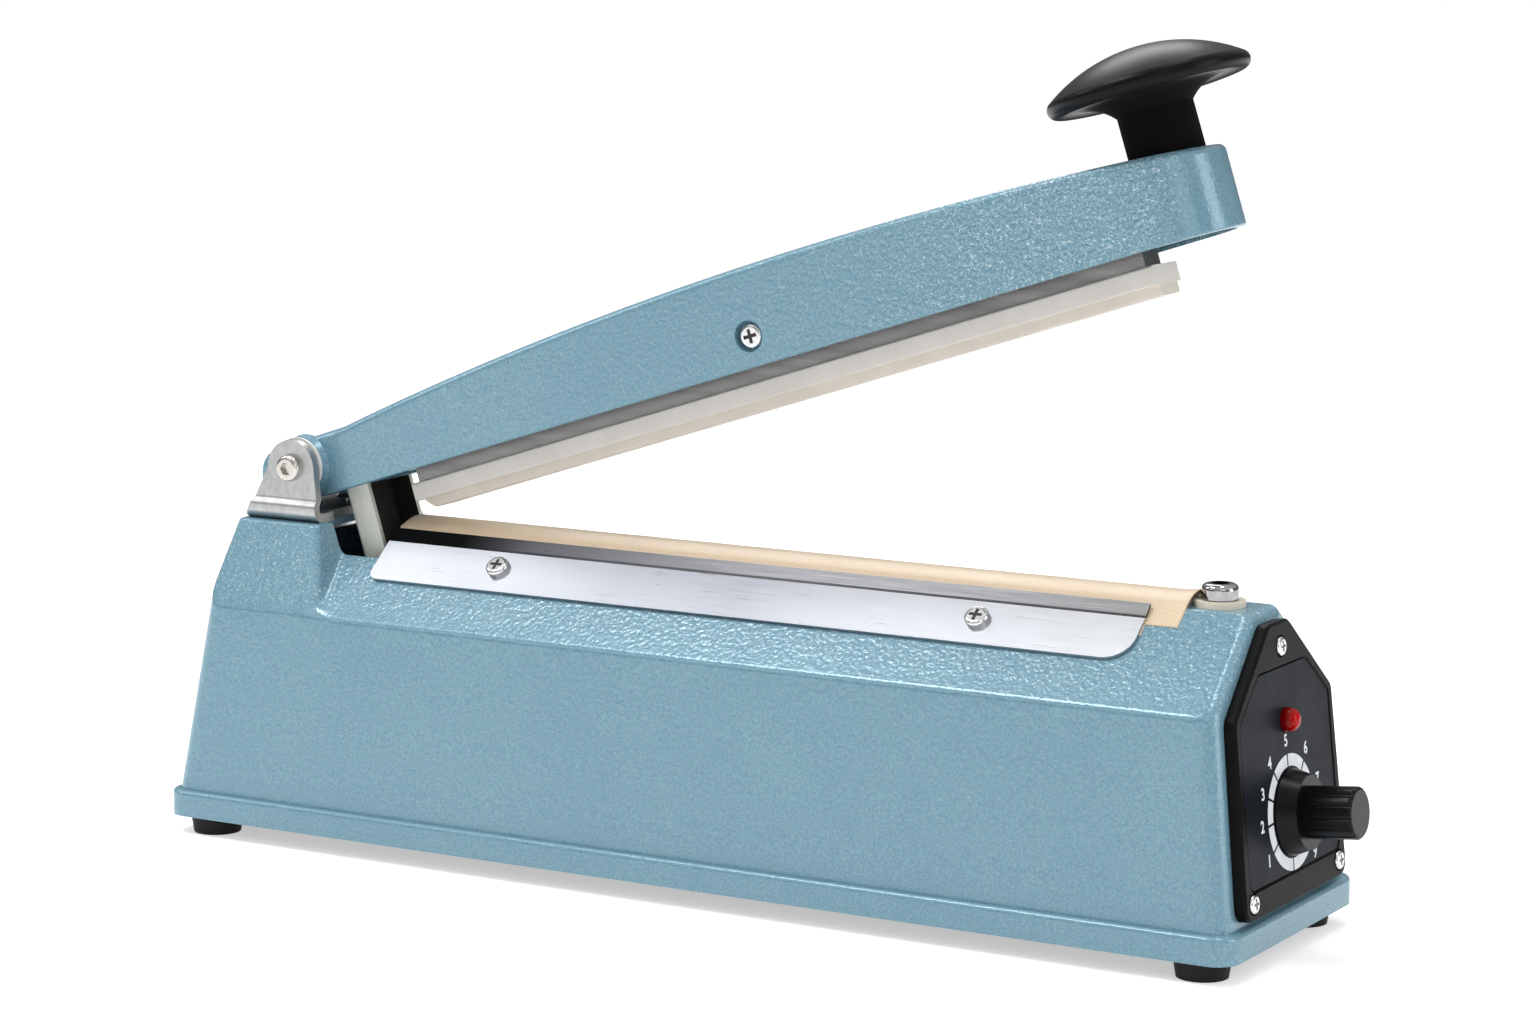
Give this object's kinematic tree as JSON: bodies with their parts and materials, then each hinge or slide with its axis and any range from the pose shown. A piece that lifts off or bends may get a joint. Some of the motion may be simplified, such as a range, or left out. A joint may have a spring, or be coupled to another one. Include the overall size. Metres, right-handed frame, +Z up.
{
  "type": "hand impulse sealer",
  "caption": "Bench hand impulse sealer with a hinged press arm, a taped heating bar, a silicone press strip and a dial timer.",
  "frame": {"origin": "on the standing surface, under the centre of the bounding box at rest", "axes": "+X along the base towards the timer panel, +Y towards the rear, +Z up"},
  "size_m": [0.4211, 0.0994, 0.2791],
  "materials": {
    "hammered_paint": "hammered blue-grey enamel on a casting",
    "cover_steel": "black painted sheet",
    "foot_rubber": "moulded black rubber",
    "screw_steel": "zinc plated screws and nuts",
    "stainless_sheet": "brushed stainless sheet",
    "lever_zinc": "zinc plated channel",
    "white_nylon": "plain white nylon",
    "bar_silicone": "moulded insulating bar",
    "element_alloy": "rolled heating strip",
    "tape_cloth": "coated glass cloth",
    "cream_insulator": "cream moulded insulator",
    "bezel_black": "black moulded plate",
    "label_slate": "printed slate label",
    "lens_red": "clear red lens",
    "knob_black": "fluted black knob",
    "handle_black": "polished black moulding",
    "shaft_aluminium": "turned aluminium",
    "board_green": "circuit board",
    "capacitor_blue": "sleeved capacitor",
    "standoff_brass": "brass pillars",
    "core_iron": "stacked laminations",
    "coil_wrap": "taped winding",
    "spring_steel": "spring wire",
    "holder_white": "white moulded holder",
    "silicone_white": "white silicone rubber"
  },
  "bodies": {
    "base": {"base_housing": "hammered_paint", "bottom_cover": "cover_steel", "foot_front_left": "foot_rubber", "foot_front_right": "foot_rubber", "foot_rear_left": "foot_rubber", "foot_rear_right": "foot_rubber", "cord_grommet": "foot_rubber", "foot_screws": "screw_steel", "bracket_screws": "screw_steel", "bracket_nuts": "screw_steel", "clamp_screws_front": "screw_steel", "clamp_screws_rear": "screw_steel", "terminal_screw_right": "screw_steel", "terminal_nut": "screw_steel", "panel_screws": "screw_steel", "potentiometer_nut": "screw_steel", "transformer_screws": "screw_steel", "switch_screws": "screw_steel", "hinge_bolt": "screw_steel", "hinge_nut": "screw_steel", "hinge_bracket": "stainless_sheet", "clamp_strip_front": "stainless_sheet", "clamp_strip_rear": "stainless_sheet", "transformer_frame": "stainless_sheet", "switch_bracket": "stainless_sheet", "spring_anchor": "stainless_sheet", "hinge_washers": "white_nylon", "mains_terminal": "white_nylon", "insulator_bar": "bar_silicone", "heating_element": "element_alloy", "ptfe_tape": "tape_cloth", "terminal_bush": "cream_insulator", "terminal_block_left": "cream_insulator", "control_panel": "bezel_black", "panel_label": "label_slate", "led_lens": "lens_red", "led_holder": "knob_black", "switch_body": "knob_black", "timer_relay": "knob_black", "potentiometer": "shaft_aluminium", "timer_board": "board_green", "timer_capacitor": "capacitor_blue", "board_standoffs": "standoff_brass", "transformer_core": "core_iron", "transformer_coil": "coil_wrap", "return_spring": "spring_steel"},
    "arm": {"arm_casting": "hammered_paint", "actuator_channel": "lever_zinc", "lever_rivets": "shaft_aluminium", "handle_knob": "handle_black", "handle_stud": "screw_steel", "handle_nut": "screw_steel", "press_bar_pivot": "screw_steel"},
    "press_bar": {"press_bar_rail": "shaft_aluminium", "rubber_holder": "holder_white", "rubber_strip": "silicone_white"},
    "timer": {"timer_knob": "knob_black", "timer_shaft": "shaft_aluminium"},
    "switch_plunger": {"switch_button": "white_nylon"}
  },
  "joints": [
    {"name": "arm_hinge", "type": "hinge", "parent": "base", "child": "arm", "pos_m": [-0.1713, 0, 0.1271], "axis": [0, 1, 0], "range_deg": [0, 14.99], "stiffness_Nm_per_rad": 4, "springref_deg": -34.38, "deforming": ["return_spring"]},
    {"name": "press_bar_tilt", "type": "hinge", "parent": "arm", "child": "press_bar", "pos_m": [0.00536, 0, 0.18206], "axis": [0, 1, 0], "range_deg": [0, 2.91]},
    {"name": "timer_dial", "type": "hinge", "parent": "base", "child": "timer", "pos_m": [0.18351, 0, 0.04417], "axis": [0.995, 0, 0.0995], "range_deg": [-135, 135]},
    {"name": "switch_travel", "type": "slide", "parent": "base", "child": "switch_plunger", "axis": [-1, 0, 0], "range_m": [0, 0.0012]}
  ],
  "couplings": [
    {"joint": "press_bar_tilt", "follows": "arm_hinge", "ratio": 0.19426},
    {"joint": "switch_travel", "follows": "arm_hinge", "m_per_rad": 0.004582}
  ]
}
